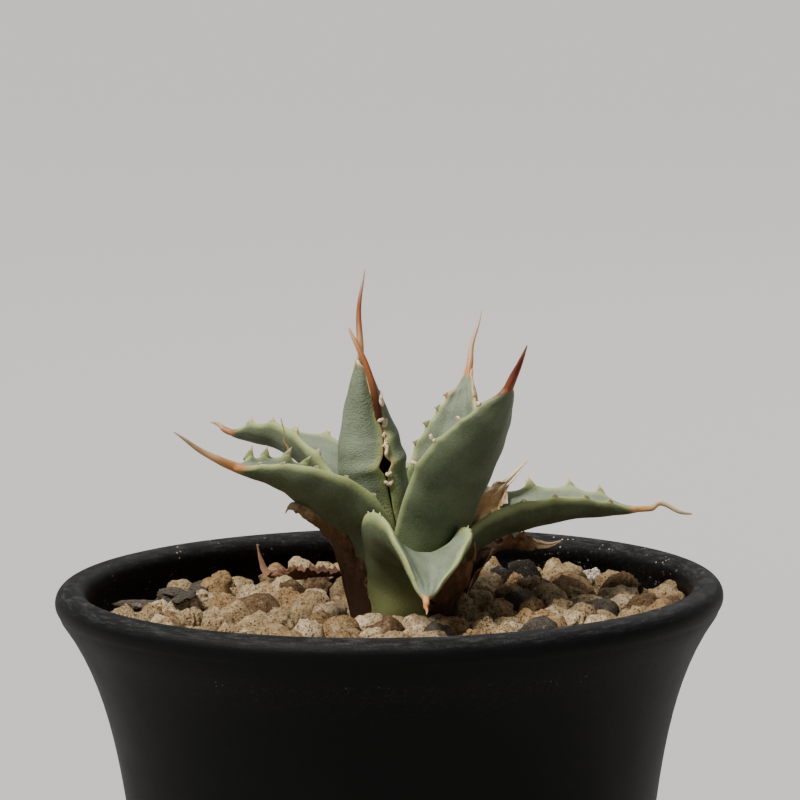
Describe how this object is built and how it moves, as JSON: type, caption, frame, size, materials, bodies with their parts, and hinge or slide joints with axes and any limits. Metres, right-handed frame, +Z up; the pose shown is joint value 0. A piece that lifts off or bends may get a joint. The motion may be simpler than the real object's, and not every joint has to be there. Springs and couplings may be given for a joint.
{
  "type": "potted agave",
  "caption": "Young rosette agave with toothed, spine-tipped leaves and withered lower leaves, in gravel in a round flared pot with a rolled rim.",
  "frame": {"origin": "centre of the pot's foot, on the surface it stands on", "axes": "+Z up; -Y towards the front, where the leaf that hangs over the gravel points; +X right"},
  "size_m": [0.09, 0.09, 0.122],
  "materials": {
    "pot_black": "satin",
    "drainage_mesh": "satin",
    "potting_mix": "matte",
    "stem": "matte",
    "leaf_green": "satin",
    "dry_leaf": "matte",
    "bark": "matte",
    "stone_white": "matte",
    "stone_brown": "matte",
    "stone_tan": "matte"
  },
  "bodies": {
    "root": {"bark_chip": "bark", "drainage_mesh": "drainage_mesh", "dry_leaf_fallen": "dry_leaf", "dry_leaf_left": "dry_leaf", "dry_leaf_low": "dry_leaf", "dry_leaf_right": "dry_leaf", "dry_leaf_sheath": "dry_leaf", "leaf_back": "leaf_green", "leaf_back_right": "leaf_green", "leaf_bud": "leaf_green", "leaf_center": "leaf_green", "leaf_front": "leaf_green", "leaf_front_right": "leaf_green", "leaf_left_back": "leaf_green", "leaf_left_front": "leaf_green", "leaf_right": "leaf_green", "pot": "pot_black", "potting_mix": "potting_mix", "stem_and_roots": "stem", "stone_01": "stone_tan", "stone_02": "stone_tan", "stone_03": "stone_tan", "stone_04": "stone_tan", "stone_05": "stone_tan", "stone_06": "stone_tan", "stone_07": "stone_tan", "stone_08": "stone_tan", "stone_09": "stone_tan", "stone_10": "stone_tan", "stone_11": "stone_tan", "stone_12": "stone_tan", "stone_13": "stone_tan", "stone_14": "stone_tan", "stone_15": "stone_tan", "stone_16": "stone_tan", "stone_17": "stone_tan", "stone_18": "stone_tan", "stone_19": "stone_tan", "stone_20": "stone_tan", "stone_21": "stone_tan", "stone_22": "stone_tan", "stone_23": "stone_tan", "stone_24": "stone_tan", "stone_25": "stone_tan", "stone_26": "stone_tan", "stone_27": "stone_tan", "stone_28": "stone_tan", "stone_29": "stone_tan", "stone_30": "stone_tan", "stone_brown_right": "stone_brown", "stone_dark_left": "stone_brown", "stone_pale_left": "stone_tan", "stone_white_chip": "stone_white"}
  },
  "joints": []
}
